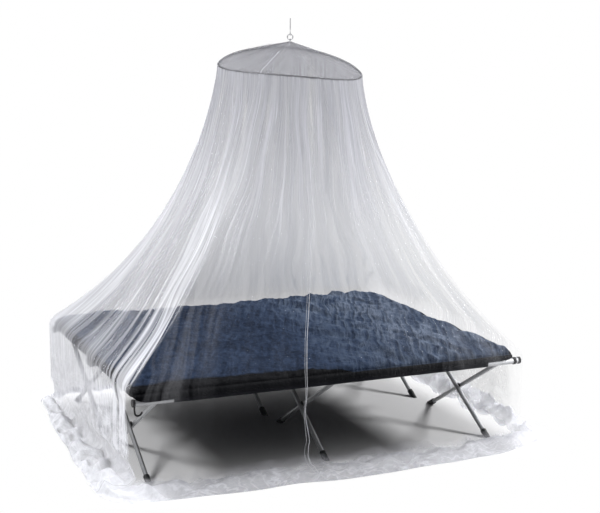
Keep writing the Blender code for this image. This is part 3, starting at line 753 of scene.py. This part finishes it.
def coverFinish():
    # Dull satin, finely crinkled all over, with long creases towards the right end. Its colour has
    # painted shade in the hollows and painted highlights on the crests, and painted light to the right.
    f = Finish("coverCloth")
    spot = f.spot()
    patch = f.cells(f.stretched(spot, coverLook["patch"]), 1.0, 4.0, .6)
    turned = f.rotated(f.warped(spot, 6.0, 2.0, (.05, .05, .05)), coverLook["turn"])
    crease = f.ridge(f.cells(f.stretched(turned, coverLook["crease"])), 7.0)
    crinkle = f.cells(f.stretched(turned, coverLook["crinkle"]), 1.0, 4.0, .7)
    places = f.add("ShaderNodeSeparateXYZ", None, Vector=spot)
    right = f.spread(places.outputs["X"], *coverLook["right"])
    crease = f.times(crease, f.timesPlus(right, .85, .15))
    # Painted shade and highlight: darker in the hollows of crinkles and creases, lighter on their crests,
    # over a random mottle.
    lit = f.timesPlus(crease, .26, f.plus(f.times(patch, .32), f.times(crinkle, .52)))
    # Painted light: lighter towards the right end.
    lit = f.timesPlus(right, .16, f.minus(lit, .04))
    # Painted shade: black where the shade mark is set, over its shaded front side and lip.
    baseColour = f.betweenColours(f.mark("paintedShade"), f.ramp(lit, coverLook["baseColour"]), coverLook["shadeColour"])
    low = f.bump(crease, .60, .014, f.bump(crinkle, .80, .014))
    return f.dress(Base_Color=baseColour, Roughness=f.spread(crinkle, .3, .7, .50, .68),
                   Specular_IOR_Level=.05,
                   Normal=f.bump(f.cells(spot, coverLook["weave"], 1.0), .25, .0006, low))


quilt = makeCover()
print("cover laid")

# Canvas of the cots. off: from the rail to the middle of the cloth. wrap: how far it goes round one.
canvasShape = {"length": 1.60, "width": .72, "railRadius": .015, "off": .0015, "loose": .00024,
               "wrap": math.radians(248), "wrapSteps": 24, "acrossSteps": 40, "rows": 160,
               "weave": 190.0, "middleY": .383}


def canvasLine():
    # Across one cloth: under the front rail, round it, over to the rear rail and round that.
    reach, half = canvasShape["railRadius"] + canvasShape["off"], canvasShape["width"] / 2
    wrap, steps, across = [canvasShape[word] for word in ("wrap", "wrapSteps", "acrossSteps")]
    line = []
    for k in range(steps + 1):
        angle = math.pi / 2 + wrap * (1 - k / steps)
        line.append((-half + reach * math.cos(angle), reach * math.sin(angle)))
    for k in range(1, across):
        line.append((mix(-half, half, k / across), reach))
    for k in range(steps + 1):
        angle = math.pi / 2 - wrap * k / steps
        line.append((half + reach * math.cos(angle), reach * math.sin(angle)))
    return line


def makeCanvas(name, number, middleY):
    line, half, count = canvasLine(), canvasShape["width"] / 2, canvasShape["rows"]
    rows = []
    for r in range(count + 1):
        x = mix(-canvasShape["length"] / 2, canvasShape["length"] / 2, r / count)
        row = []
        for y, z in line:
            loose = canvasShape["loose"] * (1 + noise.noise(Vector((x * 14, y * 20, z * 40))))
            out = Vector((0, 0, 1))
            if abs(y) > half:
                out = Vector((0.0, y - math.copysign(half, y), z)).normalized()
            row.append(Vector((x, y, z)) + out * loose + bed["middle"]
                       + Vector((0.0, middleY, bed["railHeight"])))
        rows.append(row)
    around = [0.0]
    for before, after in zip(line, line[1:]):
        around.append(around[-1] + math.dist(before, after))
    alongs = [canvasShape["length"] * r / count for r in range(count + 1)]
    mesh = clothMesh(name, rows, around, alongs)
    piece = newPiece(name, mesh, canvasFinish(name + "Cloth"))
    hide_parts("cot_%d_canvas" % number)


def canvasFinish(name):
    f = Finish(name)
    spot, cloth = f.spot(), f.cloth()
    worn = f.cells(f.stretched(spot, (5, 8, 8)), 1.0, 3.0, .6)
    across, down = [f.add("ShaderNodeTexWave", {"bands_direction": way}, Vector=cloth,
                          Scale=canvasShape["weave"]).outputs["Fac"] for way in "XY"]
    baseColour = f.ramp(worn, ((.3, (.0015, .0018, .0035)), (.7, (.004, .0045, .008))))
    return f.dress(Base_Color=baseColour, Roughness=.85, Specular_IOR_Level=.1,
                   Normal=f.bump(f.work("MAXIMUM", across, down), .3, .0005))


for number, side, word in ((1, -1, "frontCanvas"), (2, 1, "rearCanvas")):
    makeCanvas(word, number, side * canvasShape["middleY"])
print("canvas on the cots")


def tubeFinish():
    # Satin tube with fine drawn lines and rubbed spots.
    f = Finish("satinTube")
    spot = f.spot()
    smear = f.cells(spot, 14.0, 3.0, .6)
    grain = f.cells(f.stretched(spot, (30, 420, 420)))
    return f.dress(Base_Color=f.ramp(smear, ((.3, (.27, .275, .29)), (.7, (.38, .385, .40)))),
                   Metallic=.5, Roughness=f.plus(.34, f.times(smear, .16)),
                   Normal=f.bump(grain, .12, .0004))


def plasticFinish():
    f = Finish("blackPlastic")
    spot = f.spot()
    skin = f.cells(spot, 260.0, 3.0, .6)
    scuff = f.cells(spot, 30.0, 4.0, .7)
    return f.dress(Base_Color=f.ramp(scuff, ((.35, (.010, .010, .011)), (.75, (.028, .028, .030)))),
                   Roughness=f.plus(.38, f.times(scuff, .25)), Specular_IOR_Level=.25,
                   Normal=f.bump(skin, .2, .0004))


def wireFinish(name, dark, light, rough):
    f = Finish(name)
    spot = f.spot()
    smear = f.cells(spot, 45.0, 3.0, .6)
    return f.dress(Base_Color=f.ramp(smear, ((.3, dark), (.7, light))), Metallic=1.0,
                   Roughness=f.plus(rough, f.times(smear, .2)),
                   Normal=f.bump(f.cells(spot, 500.0), .1, .0003))


def dressSolids():
    tube, plastic = tubeFinish(), plasticFinish()
    finishes = {"hoop": wireFinish("hoopWire", (.12, .12, .125), (.19, .19, .20), .45),
                "hang_ring": wireFinish("ringWire", (.62, .62, .64), (.78, .78, .80), .30),
                "ring_tab": tapeFinish()}
    finishes["hang_hook"] = finishes["hang_ring"]
    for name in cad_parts:
        if name in ("net_body", "net_crown", "cover") or name.endswith("_canvas"):
            continue
        finish = finishes.get(name) or (tube if "_rail_" in name or "_leg_" in name else plastic)
        thing = bpy.data.objects[name]
        if not thing.material_slots:
            thing.data.materials.append(finish)
        for place in thing.material_slots:
            place.material = finish


dressSolids()
print("frames dressed")

# Small black fittings on the front rail: a hook under its left cap, a collar beside its right one.
railHook = {"wire": .0042, "drop": .040, "reach": .036, "from": (.004, 0.0, .002), "front": -.004,
            "line": ((0.0, 0.0), (.002, -.45), (.16, -.95), (.62, -1.02), (1.0, -.66))}
railCollar = {"width": .016, "over": .0030, "rail": .0002, "beside": .012, "steps": 40}


def makeRailHook():
    low, high = [Vector(corner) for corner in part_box("cot_1_cap_front_left")]
    start = Vector(((low.x + high.x) / 2, (low.y + high.y) / 2, low.z)) + Vector(railHook["from"])
    curve = bpy.data.curves.new("railHook", "CURVE")
    curve.dimensions = "3D"
    curve.bevel_depth = railHook["wire"]
    curve.bevel_resolution = 4
    curve.use_fill_caps = True
    line = curve.splines.new("BEZIER")
    line.bezier_points.add(len(railHook["line"]) - 1)
    for point, (x, z) in zip(line.bezier_points, railHook["line"]):
        point.co = start + Vector((x * railHook["reach"], railHook["front"], z * railHook["drop"]))
        point.handle_left_type = point.handle_right_type = "AUTO"
    thing = bpy.data.objects.new("railHookLine", curve)
    bpy.context.scene.collection.objects.link(thing)
    solved = thing.evaluated_get(bpy.context.evaluated_depsgraph_get())
    mesh = bpy.data.meshes.new_from_object(solved)
    bpy.data.objects.remove(thing)
    mesh.materials.clear()
    piece = newPiece("railHook", mesh, plasticFinish())


def makeRailCollar():
    low, high = [Vector(corner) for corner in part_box("cot_1_cap_front_right")]
    middle = Vector((low.x, (low.y + high.y) / 2, (low.z + high.z) / 2))
    over, rail, steps = railCollar["over"], railCollar["rail"], railCollar["steps"]
    outline = ((.0, rail), (.0, over * .7), (.12, over), (.88, over), (1.0, over * .7), (1.0, rail))
    bm = bmesh.new()
    rings = []
    for along, proud in outline:
        ring = []
        back = Vector(((1 - along) * railCollar["width"] + railCollar["beside"], 0.0, 0.0))
        for k in range(steps):
            angle = math.tau * k / steps
            away = Vector((0.0, math.cos(angle), math.sin(angle)))
            away *= canvasShape["railRadius"] + proud
            ring.append(bm.verts.new(middle + away - back))
        rings.append(ring)
    for here, after in zip(rings, rings[1:] + rings[:1]):
        for k in range(steps):
            bm.faces.new((here[k], after[k], after[(k + 1) % steps], here[(k + 1) % steps]))
    bmesh.ops.recalc_face_normals(bm, faces=bm.faces)
    mesh = bpy.data.meshes.new("railCollar")
    bm.to_mesh(mesh)
    bm.free()
    piece = newPiece("railCollar", mesh, plasticFinish())


makeRailHook()
makeRailCollar()
print("rail fittings on")

# Lights, and a floor that is plain white from the hem outwards.
# The net is lit by wide soft lights, as light is passed on from thread to thread; the solids under
# it by firmer ones, that draw the shadows of the legs. The left one of those leaves the cover out.
lightSet = [
    {"name": "top", "from": (.05, .42, 1.0), "softness": 18.0, "strength": 1.25, "lights": "all"},
    {"name": "left", "from": (-1.0, -.04, 1.05), "softness": 15.0, "strength": 1.60, "lights": "under"},
    {"name": "right", "from": (1.0, .02, .80), "softness": 12.0, "strength": 2.3, "lights": "solids"},
    {"name": "netLeft", "from": (-1.0, -.30, .80), "softness": 50.0, "strength": 1.56, "lights": "net"},
    {"name": "netRight", "from": (1.0, -.25, .75), "softness": 50.0, "strength": 2.70, "lights": "net"},
    {"name": "netFront", "from": (-.2, -1.0, .75), "softness": 90.0, "strength": .20, "lights": "net"},
]
frameLight = {"at": (1.75, -1.35, .85), "to": (.93, -.75, .35), "size": .5, "watts": 36.0}
skySet = {"low": .030, "high": .62, "frontDim": .92, "steep": 2.8, "start": -.85, "turn": -.05}
floorShape = {"size": 60.0, "height": -.001, "middle": (.01, .005), "half": (1.02, .845),
              "fadeFrom": .03, "fadeTo": .12}


def floorFinish():
    # White paint near the part, and plain white light from there outwards.
    f = Finish("floorPaint")
    spot = f.spot()
    sides = f.add("ShaderNodeSeparateXYZ", None, Vector=spot)
    gaps = []
    for word, middle, half in zip("XY", floorShape["middle"], floorShape["half"]):
        gap = f.work("ABSOLUTE", f.minus(sides.outputs[word], middle))
        gap = f.work("MAXIMUM", f.minus(gap, half), 0.0)
        gaps.append(f.times(gap, gap))
    away = f.spread(f.work("SQRT", f.plus(*gaps)), floorShape["fadeFrom"], floorShape["fadeTo"])
    glow = f.add("ShaderNodeEmission", None, Color=(1.0, 1.0, 1.0, 1.0), Strength=1.0)
    both = f.add("ShaderNodeMixShader", None, i0=away, i1=f.shader.outputs[0], i2=glow.outputs[0])
    f.feed(f.tree.nodes["Material Output"].inputs["Surface"], both.outputs[0])
    paint = f.ramp(f.cells(spot, .6), ((.3, (.88, .88, .89)), (.7, (.90, .90, .91))))
    return f.dress(Base_Color=paint, Roughness=.9, Specular_IOR_Level=.1)


def makeFloor():
    bm = bmesh.new()
    bmesh.ops.create_grid(bm, x_segments=2, y_segments=2, size=floorShape["size"],
                          matrix=Matrix.Translation((0.0, 0.0, floorShape["height"])))
    mesh = bpy.data.meshes.new("floor")
    bm.to_mesh(mesh)
    bm.free()
    mesh.materials.append(floorFinish())
    floor = bpy.data.objects.new("floor", mesh)
    bpy.context.scene.collection.objects.link(floor)


def lampGroups():
    # What each group of lamps lights. frames: front rails and legs, but for those at the left.
    nets = (netWall, netTop, *tapes, *crownSeams)
    tubes = [bpy.data.objects[name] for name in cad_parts
             if ("rail_front" in name or "_leg_" in name) and "left" not in name]
    groups = {}
    for word, pieces, state in (("net", nets, "INCLUDE"), ("solids", nets, "EXCLUDE"),
                                ("under", (*nets, quilt), "EXCLUDE"), ("frames", tubes, "INCLUDE")):
        groups[word] = bpy.data.collections.new(word + "Lit")
        for piece in pieces:
            groups[word].objects.link(piece)
        for entry in groups[word].collection_objects:
            entry.light_linking.link_state = state
    return groups


def hangLamp(data, back, group=None):
    # back: the way from what it lights to the lamp.
    thing = bpy.data.objects.new(data.name, data)
    bpy.context.scene.collection.objects.link(thing)
    thing.rotation_euler = back.to_track_quat("Z", "Y").to_euler()
    if group:
        thing.light_linking.receiver_collection = group
    return thing


def makeLamps():
    groups = lampGroups()
    data = bpy.data.lights.new("frameLight", "AREA")
    data.size, data.energy = frameLight["size"], frameLight["watts"]
    place = Vector(frameLight["at"])
    hangLamp(data, place - Vector(frameLight["to"]), groups["frames"]).location = place
    for lamp in lightSet:
        data = bpy.data.lights.new(lamp["name"] + "Light", "SUN")
        data.angle = math.radians(lamp["softness"])
        data.energy = lamp["strength"]
        hangLamp(data, Vector(lamp["from"]), groups.get(lamp["lights"]))


def makeStudio():
    # Bright above, behind and at the sides, dim in front and along the floor. Itself seen as white.
    world = bpy.data.worlds.new("studio")
    world.use_nodes = True
    bpy.context.scene.world = world
    n = Nodes(world.node_tree)
    way = n.add("ShaderNodeTexCoord").outputs["Generated"]
    parts = n.add("ShaderNodeSeparateXYZ", None, i0=way).outputs
    high = n.timesPlus(parts["Z"], skySet["steep"], skySet["start"], clamp=True)
    front = n.timesPlus(parts["X"], skySet["turn"], n.times(parts["Y"], -1.0), clamp=True)
    bright = n.times(high, n.minus(1.0, n.times(front, skySet["frontDim"])))
    bright = n.timesPlus(bright, skySet["high"], skySet["low"])
    seen = n.add("ShaderNodeLightPath").outputs["Is Camera Ray"]
    back = n.tree.nodes["Background"]
    back.inputs["Color"].default_value = (1.0, 1.0, 1.0, 1.0)
    n.feed(back.inputs["Strength"], n.work("MAXIMUM", seen, bright))


def setRender():
    scene = bpy.context.scene
    scene.view_settings.view_transform = "Standard"
    scene.cycles.transparent_max_bounces = 32  # one looks through many layers of net
    scene.cycles.max_bounces = 6
    scene.cycles.caustics_reflective = False  # this and the next keep stray bright dots off the net
    scene.cycles.sample_clamp_indirect = 1.0


makeFloor()
makeLamps()
makeStudio()
setRender()
print("floor and light set")
